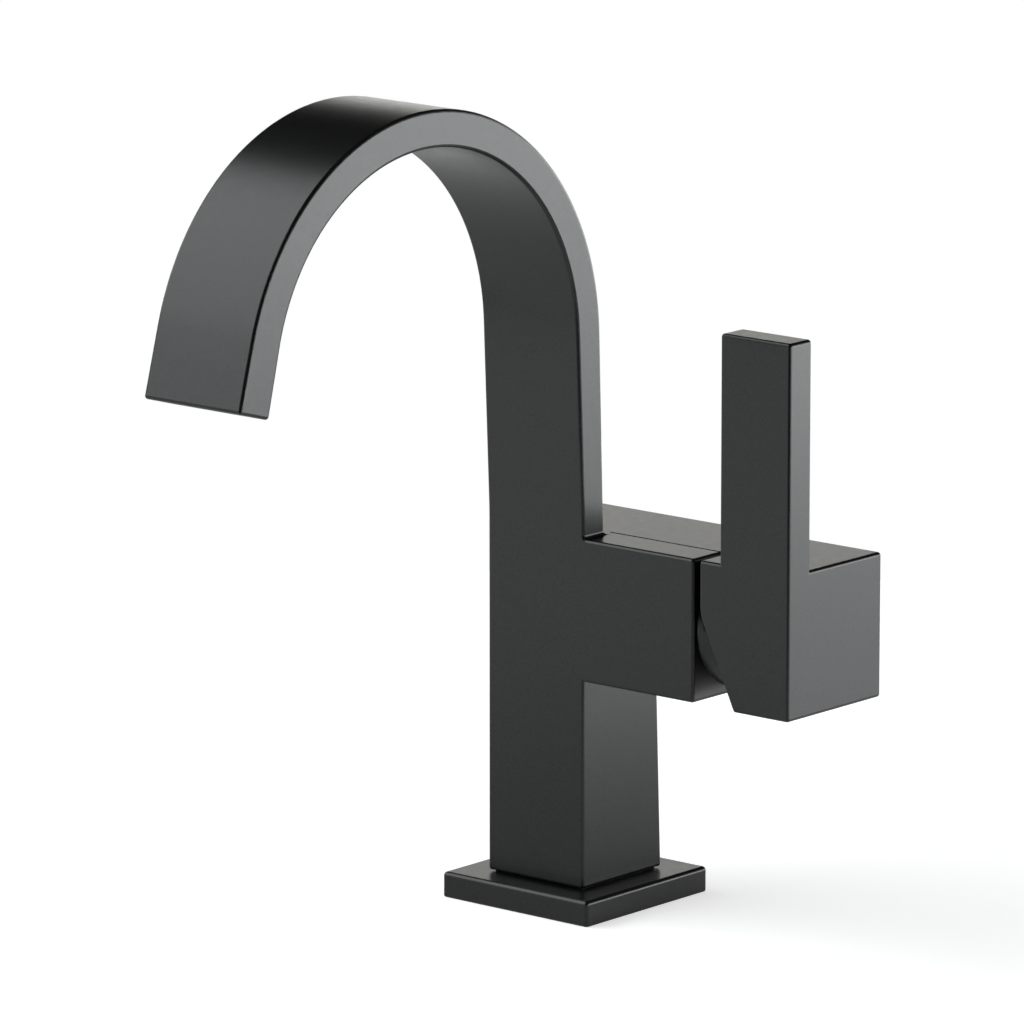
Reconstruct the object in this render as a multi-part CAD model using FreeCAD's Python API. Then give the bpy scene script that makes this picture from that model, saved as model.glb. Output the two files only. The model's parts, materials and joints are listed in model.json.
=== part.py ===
import FreeCAD, Part
import math
import os

# Single-handle square lavatory mixer with a flat ribbon spout.
# Millimetres. Z is up, the spout reaches towards -Y and the handle is on the +X side.
# The origin is on the deck, at the middle of the base plate.

V = FreeCAD.Vector

# ---- base plate and column
PLATE_SIDE = 50.5
PLATE_THICKNESS = 7.0
PLATE_EDGE = 1.1
PLATE_FOOT_EDGE = 0.6         # round along the edges on the deck
COLUMN_WIDTH = 33.05
COLUMN_DEPTH = 33.0
COLUMN_TAPER = 2.1            # the back leans in by this much below the valve housing
NECK_GAP = 0.3                # shadow gap between the plate and the column
FOOT_SIDE = 26.0              # square spigot that passes through the plate to the deck
FOOT_CLEARANCE = 0.2
NECK_SEAL_RECESS = 1.5        # how far the seal stays behind the column's faces
GASKET_DEPTH = 2.0
GASKET_INSET = 2.5            # plate rim outside the deck gasket
GASKET_WIDTH = 5.0

# ---- valve housing, a square block across the top of the column
HOUSING_BOTTOM = 63.9
HOUSING_HEIGHT = 38.6
HOUSING_DEPTH = 39.15
HOUSING_REACH = 53.95         # end face of the block, from the middle of the column
SEAM_SETBACK = 11.8           # fine groove in the top, behind the front face
SEAM_WIDTH = 0.8
SEAM_DEPTH = 0.6
SEAM_START_INSET = 0.5        # the groove starts this far inside the column's side
BODY_EDGE = 0.9
ROOT_FILLET = 1.0

# ---- ribbon spout: two outlines, each a leaning line, two arcs and a short straight end
ARCH_INNER_OFFSET = 62.1      # from the column's front to the centre of the inner arc
ARCH_CENTRE_HEIGHT = 154.9
LEAN_SETBACK = 2.2
CROWN_THICKNESS = 9.8
OUTER_SHIFT_Y = -0.6          # centre of the outer arc from that of the inner arc
OUTER_SHIFT_Z = 0.2
ROOT_THICKNESS = 8.7
KNEE_HEIGHT = 4.0
KNEE_RADIUS = 120.0
OUTER_FRONT_FROM = 124.0      # degrees round the arch, from the rear
OUTER_FRONT_TO = 164.1
OUTER_FRONT_TIGHTER = 1.6     # the front arc is tighter by this much
INNER_FRONT_FROM = 125.0
INNER_FRONT_TO = 165.9
INNER_FRONT_TIGHTER = 3.6
TIP_HEIGHT = 156.8            # outer corner of the spout's end
CURVE_STEP = 5.0              # between the points that each outline passes through

# ---- waterways
PORT_PITCH = 12.0             # between the two hose ports under the foot
PORT_RADIUS = 3.5             # wall of the threaded hose port
PORT_DEPTH = 12.0
STUD_PITCH = 18.0
STUD_RADIUS = 2.5             # wall of the threaded stud hole
STUD_DEPTH = 20.0
INLET_RADIUS = 2.6
OUTLET_RADIUS = 2.0
RISER_X = 8.5
RISER_DROP = 2.0              # the outlet leaves the valve a little upwards
SKIN = 2.1                    # ribbon wall over the waterway
WATERWAY_WIDTH = 22.0
WATERWAY_DROP = 8.0           # how far the flat waterway starts below the housing's top
WATERWAY_SHORT = 4.0          # how far above the end of the spout it stops
LINER_CLEARANCE = 0.1
LINER_WALL = 0.7

# ---- outlet insert in the end of the spout
OUTLET_WIDTH = 25.0
OUTLET_THICKNESS = 6.4
OUTLET_DEPTH = 8.0
OUTLET_RECESS = 0.6
OUTLET_CLEARANCE = 0.1
OUTLET_SEAL = 1.4
WINDOW_WIDTH = 21.0
WINDOW_THICKNESS = 3.8
STRAIGHTENER_LIP = 1.0
STRAIGHTENER_HEIGHT = 3.4
STRAIGHTENER_WEB = 0.45
STRAIGHTENER_COLUMNS = 11
STRAIGHTENER_ROWS = 2
RESTRICTOR_HEIGHT = 1.2
RESTRICTOR_HOLES = 7
RESTRICTOR_HOLE_RADIUS = 0.6

# ---- cartridge, on the housing's axis
CHAMBER_FLOOR = 24.0
CARTRIDGE_RADIUS = 14.1
CARTRIDGE_CLEARANCE = 0.1
NUT_RADIUS = 15.95
NUT_LENGTH = 5.0
NUT_THREAD_CLEARANCE = 0.05
NOTCH_WIDTH = 4.0
NOTCH_DEPTH = 2.0
NOTCH_COUNT = 4
NOTCH_START = 45.0            # degrees
SHELL_WALL = 1.4
SHOULDER = 1.1
NECK_RADIUS = 11.0
NECK_RIM = 1.0                # neck above the rotor's O-ring
NECK_CLEARANCE = 0.2
BASE_FLANGE = 2.0
BASE_LENGTH = 5.5
PEG_RADIUS = 1.4
PEG_LENGTH = 1.8
PEG_CIRCLE = 10.8
INLET_SPREAD = 5.0            # half the distance between hot and cold
INLET_RISE = 3.5
OUTLET_FALL = 5.5
SEAL_WALL = 1.2
SEAL_HEIGHT = 1.2
FIXED_DISC_RADIUS = 11.5
DISC_THICKNESS = 4.0
MOVING_DISC_RADIUS = 8.6
MOVING_DISC_THICKNESS = 3.5
MIXING_RADIUS = 5.6
MIXING_DEPTH = 1.6
LAP_GAP = 0.05                # water film between parts that slide on each other
CARRIER_RADIUS = 10.5
CARRIER_THICKNESS = 4.9
CARRIER_GAP = 0.45            # between the carrier and the rotor
KEY_WIDTH = 4.0
KEY_DEPTH = 0.8

# ---- rotor, stem and pin
STEM_SIDE = 6.0
STEM_HEEL = 4.5               # square part of the stem on the inner side of its pin
BALL_SEAT = 1.95              # middle of the ball below the carrier's top
BALL_ARM = 8.0                # from the pin to the ball that moves the discs
BALL_RADIUS = 2.4
BALL_CLEARANCE = 0.15
BALL_NECK_RADIUS = 1.6
TILT = 24.0                   # full flow, degrees
TURN = 50.0                   # each way from the middle, degrees
ROTOR_RADIUS = 8.92
ROTOR_CLEARANCE = 0.08
ROTOR_FLANGE = 1.8
ROTOR_FLANGE_RADIUS = 12.4
ROTOR_RIM = 1.0               # rotor beyond the end of the neck
WASHER = 0.6
WASHER_GAP = 0.1
SLOT_CLEARANCE = 0.1
PIN_RADIUS = 1.25
PIN_CLEARANCE = 0.03
PIN_INSET = 0.3
RING_SETBACK = 2.2            # rotor's O-ring from the pin's axis
RING_WIDTH = 1.8
RING_DEPTH = 1.5
RIB_INNER = 8.0
RIB_OUTER = 9.5
RIB_HALF_LENGTH = 4.0
RIB_HEIGHT = 1.4
RIB_CLEARANCE = 0.15
STOP_RADIUS = 13.8
STOP_INNER = 9.4
STOP_HALF_ANGLE = 10.0
STOP_CLEARANCE_ANGLE = 2.0
STOP_LUG_RADIUS = 10.7
STOP_GAP = 0.1

# ---- dome that covers the cartridge, concentric with the pivot
DOME_RADIUS = 18.8
DOME_WALL = 1.5
DOME_OPENING_MARGIN = 15.5    # degrees of opening beyond the stem's tilt
SPIGOT_WALL = 1.7
SPIGOT_LENGTH = 2.7
SPIGOT_GROOVE_INSET = 0.5
DOME_RING_WIDTH = 1.4
DOME_RING_DEPTH = 0.7
DOME_FLANGE = 1.5

# ---- handle: a square hub with an upright bar
HUB_GAP = 1.85
HUB_LENGTH = 29.85
HUB_DROP = 0.4                # underside of the hub below that of the housing
HUB_CHAMFER_RISE = 4.85       # the lower corner is cut back from here above the axis
HUB_CHAMFER_MARGIN = 1.1      # degrees steeper than the handle's tilt
HUB_CHAMFER_ROUND = 12.0
HUB_DOME_GAP = 0.5
LEVER_WIDTH = 23.1
LEVER_THICKNESS = 9.1
LEVER_TOP = 163.6
HANDLE_EDGE = 0.9
ADAPTER_RADIUS = 7.0
ADAPTER_SETBACK = 1.3         # from the hub's hollow
ADAPTER_FLOOR = 0.6
ADAPTER_LENGTH = 12.0
ADAPTER_CLEARANCE = 0.05
SCREW_RADIUS = 2.5
SCREW_LENGTH = 8.0
SCREW_CLEARANCE = 0.05
SCREW_FROM_STEM_END = 5.5
HEX_SIDES = 6
HEX_ACROSS = 2.5
HEX_DEPTH = 3.0
PLUG_RADIUS = 3.2
PLUG_LENGTH = 3.0

# ---- places that follow from the sizes above
FRONT = -COLUMN_WIDTH / 2
BACK = FRONT + HOUSING_DEPTH
SIDE = COLUMN_WIDTH / 2
COLUMN_BOTTOM = PLATE_THICKNESS + NECK_GAP
HOUSING_TOP = HOUSING_BOTTOM + HOUSING_HEIGHT
AXIS_Y = FRONT + HOUSING_DEPTH / 2
AXIS_Z = HOUSING_BOTTOM + HOUSING_HEIGHT / 2
INNER_CENTRE = (FRONT - ARCH_INNER_OFFSET, ARCH_CENTRE_HEIGHT)
OUTER_CENTRE = (INNER_CENTRE[0] + OUTER_SHIFT_Y, INNER_CENTRE[1] + OUTER_SHIFT_Z)
INNER_RADIUS = ARCH_INNER_OFFSET - LEAN_SETBACK
OUTER_RADIUS = INNER_RADIUS + CROWN_THICKNESS
TRAVEL = BALL_ARM * math.sin(math.radians(TILT))
DISC_START = CHAMBER_FLOOR + BASE_LENGTH
MOVING_START = DISC_START + DISC_THICKNESS + LAP_GAP
CARRIER_START = MOVING_START + MOVING_DISC_THICKNESS
CARRIER_END = CARRIER_START + CARRIER_THICKNESS
MOVING_Z = AXIS_Z - TRAVEL / 2
BALL_X = CARRIER_END - BALL_SEAT
PIVOT = BALL_X + BALL_ARM
ROTOR_START = CARRIER_END + CARRIER_GAP
NUT_SEAT = ROTOR_START + ROTOR_FLANGE + WASHER_GAP + WASHER + SHOULDER
RING_START = PIVOT + RING_SETBACK
NECK_END = RING_START + RING_WIDTH + NECK_RIM
ROTOR_END = NECK_END + ROTOR_RIM
HUB_START = HOUSING_REACH + HUB_GAP
HUB_END = HUB_START + HUB_LENGTH
HUB_BOTTOM = HOUSING_BOTTOM - HUB_DROP
HUB_CHAMFER_TOP = AXIS_Z + HUB_CHAMFER_RISE
ADAPTER_START = PIVOT + DOME_RADIUS + HUB_DOME_GAP + ADAPTER_SETBACK
ADAPTER_END = ADAPTER_START + ADAPTER_LENGTH
STEM_END = ADAPTER_END - ADAPTER_FLOOR
NUT_END = NUT_SEAT + NUT_LENGTH
THREAD_RADIUS = NUT_RADIUS + NUT_THREAD_CLEARANCE
X_AXIS = V(1, 0, 0)
Y_AXIS = V(0, 1, 0)
THROUGH = 1.0                 # how far a cutting tool runs past a face
NEAR = 0.01                   # two places this close are the same
SMOOTH_DOT = 0.98             # faces whose normals agree this well meet without an edge
PROBE_STEP = 0.05
PROBE_TOLERANCE = 0.0001


# ---------------------------------------------------------------- helpers

def block(x0, x1, y0, y1, z0, z1):
    """Box between two corners."""
    return Part.makeBox(x1 - x0, y1 - y0, z1 - z0, V(x0, y0, z0))


def square(side, z0, z1):
    """Square prism on the Z axis."""
    half = side / 2
    return block(-half, half, -half, half, z0, z1)


def rod_x(radius, x0, x1, y=AXIS_Y, z=AXIS_Z):
    """Cylinder along X, on the cartridge's axis unless told otherwise."""
    return Part.makeCylinder(radius, x1 - x0, V(x0, y, z), X_AXIS)


def tube_x(outer, inner, x0, x1, y=AXIS_Y, z=AXIS_Z):
    """Ring or tube along X."""
    return rod_x(outer, x0, x1, y, z).cut(rod_x(inner, x0 - THROUGH, x1 + THROUGH, y, z))


def fuse(shapes):
    """One solid from several that meet."""
    first, rest = shapes[0], shapes[1:]
    return first.multiFuse(rest).removeSplitter() if rest else first


def cut(shape, tools):
    """A shape less several tools."""
    return shape.cut(tools) if tools else shape


def convex_edges(solid):
    """Sharp outside edges of a solid."""
    chosen = []
    for edge in solid.Edges:
        faces = solid.ancestorsOfType(edge, Part.Face)
        if len(faces) != 2:
            continue
        middle = edge.valueAt((edge.FirstParameter + edge.LastParameter) / 2)
        normals = [face.normalAt(*face.Surface.parameter(middle)) for face in faces]
        if abs(normals[0].dot(normals[1])) > SMOOTH_DOT:
            continue
        probe = middle + (normals[0] - normals[1]) * PROBE_STEP
        if not solid.isInside(probe, PROBE_TOLERANCE, True):
            chosen.append(edge)
    return chosen


def write(shapes):
    """One STEP file per node."""
    os.makedirs("parts", exist_ok=True)
    for name, shape in shapes.items():
        shape.exportStep(os.path.join("parts", name + ".step"))


# ---------------------------------------------------------------- ribbon spout

def on_circle(centre, radius, degrees):
    """Point (y, z) of a circle; 0 degrees is its rear side and 90 its top."""
    angle = math.radians(degrees)
    return (centre[0] + radius * math.cos(angle), centre[1] + radius * math.sin(angle))


def lean_angle(foot, centre, radius):
    """Where the line that rises from foot touches the circle, in degrees."""
    dy, dz = foot[0] - centre[0], foot[1] - centre[1]
    return math.degrees(math.atan2(dz, dy) + math.acos(radius / math.hypot(dy, dz)))


def at(point):
    """Point (y, z) on the ribbon's middle plane."""
    return V(0, point[0], point[1])


def line(start, end):
    return Part.LineSegment(at(start), at(end)).toShape()


def arc(centre, radius, start, end):
    middle = on_circle(centre, radius, (start + end) / 2)
    ends = on_circle(centre, radius, start), on_circle(centre, radius, end)
    return Part.Arc(at(ends[0]), at(middle), at(ends[1])).toShape()


def along_line(start, end):
    """Points from start to just short of end."""
    count = math.ceil(math.dist(start, end) / CURVE_STEP)
    return [(start[0] + (end[0] - start[0]) * i / count, start[1] + (end[1] - start[1]) * i / count)
            for i in range(count)]


def along_arc(centre, radius, start, end):
    """Points round a circle from start degrees to just short of end degrees."""
    count = math.ceil(radius * math.radians(end - start) / CURVE_STEP)
    return [on_circle(centre, radius, start + (end - start) * i / count) for i in range(count)]


def smooth(points):
    """One smooth edge through a list of points."""
    curve = Part.BSplineCurve()
    curve.interpolate([at(point) for point in points])
    return curve.toShape()


def tip_frame():
    """Outer corner of the spout's end and the way out of it."""
    angle = math.radians(OUTER_FRONT_TO)
    out = (-math.sin(angle), math.cos(angle))
    front_radius = OUTER_RADIUS - OUTER_FRONT_TIGHTER
    front_centre = eased_centre(OUTER_CENTRE, OUTER_RADIUS, front_radius, OUTER_FRONT_FROM)
    start = on_circle(front_centre, front_radius, OUTER_FRONT_TO)
    length = (start[1] - TIP_HEIGHT) / -out[1]
    corner = (start[0] + out[0] * length, start[1] + out[1] * length)
    return corner, out


def eased_centre(centre, radius, front_radius, degrees):
    """Centre of an arc that carries on smoothly from the first one with another radius."""
    return on_circle(centre, radius - front_radius, degrees)


def outline(foot, centre, radius, front_radius, start, end, short):
    """Points of one outline of the ribbon, from its foot over the arch to the tip."""
    corner, out = tip_frame()
    lean = lean_angle(foot, centre, radius)
    front_centre = eased_centre(centre, radius, front_radius, start)
    touch = on_circle(centre, radius, lean)
    leave = on_circle(front_centre, front_radius, end)
    angle = math.radians(end)
    along = (-math.sin(angle), math.cos(angle))
    gap = (corner[0] - leave[0]) * out[0] + (corner[1] - leave[1]) * out[1] - short
    length = gap / (along[0] * out[0] + along[1] * out[1])
    last = (leave[0] + along[0] * length, leave[1] + along[1] * length)
    return (along_line(foot, touch) + along_arc(centre, radius, lean, start)
            + along_arc(front_centre, front_radius, start, end) + along_line(leave, last) + [last])


def rear_outline(inset, short=0.0, drop=0.0):
    """Outer face of the arch, moved into the ribbon by inset and cut short at the tip."""
    foot = (FRONT + ROOT_THICKNESS, HOUSING_TOP)
    lean = math.radians(lean_angle(foot, OUTER_CENTRE, OUTER_RADIUS))
    foot = (foot[0] - inset * math.cos(lean) + drop * math.tan(lean),
            foot[1] - inset * math.sin(lean) - drop)
    radius = OUTER_RADIUS - inset
    return outline(foot, OUTER_CENTRE, radius, radius - OUTER_FRONT_TIGHTER,
                   OUTER_FRONT_FROM, OUTER_FRONT_TO, short)


def inner_outline(inset, short=0.0, drop=0.0):
    """Inner face of the arch, moved into the ribbon by inset and cut short at the tip."""
    foot = (FRONT, HOUSING_TOP + KNEE_HEIGHT)
    lean = math.radians(lean_angle(foot, INNER_CENTRE, INNER_RADIUS))
    drop = drop + KNEE_HEIGHT if drop else 0.0
    foot = (foot[0] + inset * math.cos(lean) + drop * math.tan(lean),
            foot[1] + inset * math.sin(lean) - drop)
    radius = INNER_RADIUS + inset
    return outline(foot, INNER_CENTRE, radius, radius - INNER_FRONT_TIGHTER,
                   INNER_FRONT_FROM, INNER_FRONT_TO, short)


def knee():
    """Lower end of the ribbon's front face: up the column's plane and into the lean."""
    foot = (FRONT, HOUSING_TOP + KNEE_HEIGHT)
    lean = lean_angle(foot, INNER_CENTRE, INNER_RADIUS)
    reach = KNEE_RADIUS * math.tan(math.radians(lean) / 2)
    centre = (FRONT - KNEE_RADIUS, foot[1] - reach)
    top = on_circle(centre, KNEE_RADIUS, lean)
    return centre, lean, top


def extrude(edges, width):
    """Solid of a closed outline on the ribbon's middle plane, width wide about it."""
    wire = Part.Wire(Part.sortEdges(edges)[0])
    solid = Part.Face(wire).extrude(V(width, 0, 0))
    solid.translate(V(-width / 2, 0, 0))
    return solid


def ribbon():
    """The flat arched spout, down into the housing's top."""
    rear = rear_outline(0.0)
    centre, lean, top = knee()
    inner = [top] + inner_outline(0.0)[1:]
    bottom = HOUSING_TOP - THROUGH
    start = (FRONT, centre[1])
    front = [line((FRONT, bottom), start), arc(centre, KNEE_RADIUS, 0.0, lean), smooth(inner)]
    ends = [line(rear[-1], inner[-1]), line((FRONT, bottom), (rear[0][0], bottom))]
    ends.append(line((rear[0][0], bottom), rear[0]))
    return extrude([smooth(rear)] + front + ends, COLUMN_WIDTH)


def band(inset, width, short, drop):
    """Flat band that follows the ribbon, inset from both of its faces."""
    rear = rear_outline(inset, short, drop)
    inner = inner_outline(inset, short, drop)
    ends = [line(rear[-1], inner[-1]), line(rear[0], inner[0])]
    return extrude([smooth(rear), smooth(inner)] + ends, width)


# ---------------------------------------------------------------- body casting

def column():
    """Upright of the body; its back leans in towards the housing."""
    back = FRONT + COLUMN_DEPTH
    points = [
        V(-SIDE, FRONT, COLUMN_BOTTOM),
        V(-SIDE, back, COLUMN_BOTTOM),
        V(-SIDE, back - COLUMN_TAPER, HOUSING_BOTTOM),
        V(-SIDE, back - COLUMN_TAPER, HOUSING_BOTTOM + THROUGH),
        V(-SIDE, FRONT, HOUSING_BOTTOM + THROUGH),
    ]
    face = Part.Face(Part.makePolygon(points + points[:1]))
    return face.extrude(V(COLUMN_WIDTH, 0, 0))


def housing():
    """Square valve block across the top of the column."""
    return block(-SIDE, HOUSING_REACH, FRONT, BACK, HOUSING_BOTTOM, HOUSING_TOP)


def body_outside():
    """Column, housing and ribbon in one, with its edges softened."""
    solid = fuse([column(), housing(), ribbon()])
    solid = solid.makeFillet(ROOT_FILLET, [edge for edge in solid.Edges if is_ribbon_root(edge)])
    return solid.makeFillet(BODY_EDGE, convex_edges(solid))


def is_ribbon_root(edge):
    """Whether an edge is the inside corner where the ribbon rises from the housing's top."""
    box = edge.BoundBox
    flat = abs(box.ZMin - HOUSING_TOP) < NEAR and abs(box.ZMax - HOUSING_TOP) < NEAR
    behind = abs(box.YMin - FRONT - ROOT_THICKNESS) < NEAR and abs(box.YMax - box.YMin) < NEAR
    beside = abs(box.XMin - SIDE) < NEAR and abs(box.XMax - SIDE) < NEAR
    return flat and (behind or beside)


def channel(points, radius):
    """Round waterway through a list of points."""
    pieces = []
    for start, end in zip(points, points[1:]):
        run = end - start
        pieces.append(Part.makeCylinder(radius, run.Length, start, run))
    for point in points[1:-1]:
        pieces.append(Part.makeSphere(radius, point))
    return pieces


def inlet_point(side):
    """Cold (-1) or hot (+1) inlet on the cartridge's end, as (y, z)."""
    return AXIS_Y + side * INLET_SPREAD, AXIS_Z + INLET_RISE


def outlet_point():
    """Mixed outlet on the cartridge's end, as (y, z)."""
    return AXIS_Y, AXIS_Z - OUTLET_FALL


def inlet_channel(side):
    """From a hose port under the foot up to the cartridge."""
    y, z = inlet_point(side)
    port_y = side * PORT_PITCH / 2
    port = Part.makeCylinder(PORT_RADIUS, PORT_DEPTH + THROUGH, V(0, port_y, -THROUGH))
    top = V(0, port_y, PORT_DEPTH - THROUGH)
    return [port] + channel([top, V(0, y, z), V(CHAMBER_FLOOR + THROUGH, y, z)], INLET_RADIUS)


def outlet_channel():
    """From the cartridge forward and up into the ribbon's waterway."""
    y, z = outlet_point()
    front_y = FRONT + ROOT_THICKNESS / 2
    top = HOUSING_TOP - WATERWAY_DROP + THROUGH
    points = [V(CHAMBER_FLOOR + THROUGH, y, z), V(RISER_X, front_y, z + RISER_DROP),
              V(RISER_X, front_y, top)]
    return channel(points, OUTLET_RADIUS)


def chamber():
    """Bore for the cartridge and the wider threaded bore for its nut."""
    bore = rod_x(CARTRIDGE_RADIUS + CARTRIDGE_CLEARANCE, CHAMBER_FLOOR, NUT_SEAT + THROUGH)
    thread = rod_x(THREAD_RADIUS, NUT_SEAT, HOUSING_REACH + THROUGH)
    pegs = [rod_x(PEG_RADIUS + CARTRIDGE_CLEARANCE, CHAMBER_FLOOR - PEG_LENGTH - CARTRIDGE_CLEARANCE,
                  CHAMBER_FLOOR + THROUGH, y, z) for y, z in peg_points()]
    return [bore, thread] + pegs


def peg_points():
    """Where the cartridge's two locating pegs stand."""
    return [(AXIS_Y + side * PEG_CIRCLE, AXIS_Z) for side in (-1, 1)]


def outlet_place():
    """Placement of the spout's end: local Z runs up into the ribbon, Y towards its inner face."""
    outer, inner = rear_outline(0.0)[-1], inner_outline(0.0)[-1]
    middle = V(0, (outer[0] + inner[0]) / 2, (outer[1] + inner[1]) / 2)
    return FreeCAD.Placement(middle, FreeCAD.Rotation(X_AXIS, OUTER_FRONT_TO - 180.0))


def slab(width, thickness, z0, z1):
    """Rectangular piece in the outlet's own frame."""
    return block(-width / 2, width / 2, -thickness / 2, thickness / 2, z0, z1)


def placed(shape):
    """Moves a piece from the outlet's own frame to the end of the spout."""
    moved = shape.copy()
    moved.Placement = outlet_place()
    return moved


def seam():
    """Fine groove along the housing's top."""
    y = FRONT + SEAM_SETBACK
    return block(SIDE - SEAM_START_INSET, HOUSING_REACH + THROUGH,
                 y - SEAM_WIDTH / 2, y + SEAM_WIDTH / 2,
                 HOUSING_TOP - SEAM_DEPTH, HOUSING_TOP + THROUGH)


def stud_holes():
    """Two threaded holes for the fixing studs."""
    return [Part.makeCylinder(STUD_RADIUS, STUD_DEPTH + THROUGH, V(side * STUD_PITCH / 2, 0, -THROUGH))
            for side in (-1, 1)]


def faucet_body():
    """Cast body with its foot, waterways, valve chamber and outlet pocket."""
    foot = square(FOOT_SIDE, 0.0, COLUMN_BOTTOM + THROUGH)
    solid = fuse([body_outside(), foot])
    pocket = placed(slab(OUTLET_WIDTH, OUTLET_THICKNESS, -THROUGH, OUTLET_DEPTH))
    tools = [band(SKIN, WATERWAY_WIDTH, WATERWAY_SHORT, WATERWAY_DROP), pocket, seam()]
    tools += inlet_channel(-1) + inlet_channel(1) + outlet_channel()
    tools += chamber() + stud_holes()
    return cut(solid, tools)


def waterway_liner():
    """Flat plastic tube that carries the water through the ribbon."""
    width = WATERWAY_WIDTH - 2 * LINER_CLEARANCE
    inset = SKIN + LINER_CLEARANCE
    drop = WATERWAY_DROP - LINER_CLEARANCE
    outside = band(inset, width, OUTLET_DEPTH, drop)
    inside = band(inset + LINER_WALL, width - 2 * LINER_WALL, WATERWAY_SHORT, WATERWAY_DROP + THROUGH)
    return outside.cut(inside)


# ---------------------------------------------------------------- base

def base_plate():
    """Square cover plate on the deck, with a pocket for the gasket underneath."""
    solid = square(PLATE_SIDE, 0.0, PLATE_THICKNESS)
    edges = [edge for edge in solid.Edges if edge.BoundBox.ZMax > THROUGH]
    solid = solid.makeFillet(PLATE_EDGE, edges)
    foot = [edge for edge in solid.Edges if edge.BoundBox.ZMax < NEAR]
    solid = solid.makeFillet(PLATE_FOOT_EDGE, foot)
    opening = square(FOOT_SIDE + 2 * FOOT_CLEARANCE, -THROUGH, PLATE_THICKNESS + THROUGH)
    outer = PLATE_SIDE - 2 * GASKET_INSET
    groove = square(outer, -THROUGH, GASKET_DEPTH).cut(
        square(outer - 2 * GASKET_WIDTH, -2 * THROUGH, GASKET_DEPTH + THROUGH))
    return cut(solid, [opening, groove])


def base_gasket():
    """Foam gasket, pressed flush with the underside of the plate."""
    outer = PLATE_SIDE - 2 * GASKET_INSET - 2 * FOOT_CLEARANCE
    inner = PLATE_SIDE - 2 * GASKET_INSET - 2 * GASKET_WIDTH + 2 * FOOT_CLEARANCE
    return square(outer, 0.0, GASKET_DEPTH).cut(square(inner, -THROUGH, GASKET_DEPTH + THROUGH))


def neck_seal():
    """Seal in the shadow gap, between the plate and the column."""
    outer = COLUMN_WIDTH - 2 * NECK_SEAL_RECESS
    inner = FOOT_SIDE + 2 * FOOT_CLEARANCE
    return square(outer, PLATE_THICKNESS, COLUMN_BOTTOM).cut(
        square(inner, PLATE_THICKNESS - THROUGH, COLUMN_BOTTOM + THROUGH))


# ---------------------------------------------------------------- outlet insert

def outlet_frame():
    """Frame that is pressed into the end of the spout."""
    width = OUTLET_WIDTH - 2 * OUTLET_CLEARANCE
    thickness = OUTLET_THICKNESS - 2 * OUTLET_CLEARANCE
    top = OUTLET_DEPTH - OUTLET_SEAL
    ring = slab(width, thickness, OUTLET_RECESS, top)
    lip = slab(WINDOW_WIDTH - STRAIGHTENER_LIP, WINDOW_THICKNESS - STRAIGHTENER_LIP, 0.0, top)
    window = slab(WINDOW_WIDTH, WINDOW_THICKNESS, OUTLET_RECESS + STRAIGHTENER_LIP, top + THROUGH)
    return placed(cut(ring, [lip, window]))


def flow_straightener():
    """Grid that makes the stream flat and clear."""
    width = WINDOW_WIDTH - 2 * OUTLET_CLEARANCE
    thickness = WINDOW_THICKNESS - 2 * OUTLET_CLEARANCE
    low = OUTLET_RECESS + STRAIGHTENER_LIP
    high = low + STRAIGHTENER_HEIGHT
    pitch_x = (width - STRAIGHTENER_WEB) / STRAIGHTENER_COLUMNS
    pitch_y = (thickness - STRAIGHTENER_WEB) / STRAIGHTENER_ROWS
    cells = []
    for column_index in range(STRAIGHTENER_COLUMNS):
        for row in range(STRAIGHTENER_ROWS):
            x = -width / 2 + STRAIGHTENER_WEB + column_index * pitch_x
            y = -thickness / 2 + STRAIGHTENER_WEB + row * pitch_y
            cells.append(block(x, x + pitch_x - STRAIGHTENER_WEB, y, y + pitch_y - STRAIGHTENER_WEB,
                               low - THROUGH, high + THROUGH))
    return placed(cut(slab(width, thickness, low, high), cells))


def flow_restrictor():
    """Plate of small holes that limits the flow."""
    width = WINDOW_WIDTH - 2 * OUTLET_CLEARANCE
    thickness = WINDOW_THICKNESS - 2 * OUTLET_CLEARANCE
    low = OUTLET_RECESS + STRAIGHTENER_LIP + STRAIGHTENER_HEIGHT
    pitch = width / RESTRICTOR_HOLES
    holes = [Part.makeCylinder(RESTRICTOR_HOLE_RADIUS, RESTRICTOR_HEIGHT + 2 * THROUGH,
                               V((index - (RESTRICTOR_HOLES - 1) / 2) * pitch, 0, low - THROUGH))
             for index in range(RESTRICTOR_HOLES)]
    return placed(cut(slab(width, thickness, low, low + RESTRICTOR_HEIGHT), holes))


def outlet_seal():
    """Flat seal between the outlet frame and the waterway."""
    width = OUTLET_WIDTH - 2 * OUTLET_CLEARANCE
    thickness = OUTLET_THICKNESS - 2 * OUTLET_CLEARANCE
    low = OUTLET_DEPTH - OUTLET_SEAL
    ring = slab(width, thickness, low, OUTLET_DEPTH)
    window = slab(WINDOW_WIDTH - STRAIGHTENER_LIP, WINDOW_THICKNESS - STRAIGHTENER_LIP,
                  low - THROUGH, OUTLET_DEPTH + THROUGH)
    return placed(ring.cut(window))


# ---------------------------------------------------------------- cartridge

def port_rods(radius, x0, x1):
    """Rods through the hot, cold and mixed ports."""
    places = [inlet_point(-1), inlet_point(1), outlet_point()]
    return [rod_x(radius, x0, x1, y, z) for y, z in places]


def port_seals(x0):
    """Three rings, one round each port."""
    outer = port_rods(INLET_RADIUS + SEAL_WALL, x0, x0 + SEAL_HEIGHT)
    inner = port_rods(INLET_RADIUS, x0 - THROUGH, x0 + SEAL_HEIGHT + THROUGH)
    return Part.makeCompound([ring.cut(bore) for ring, bore in zip(outer, inner)])


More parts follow.
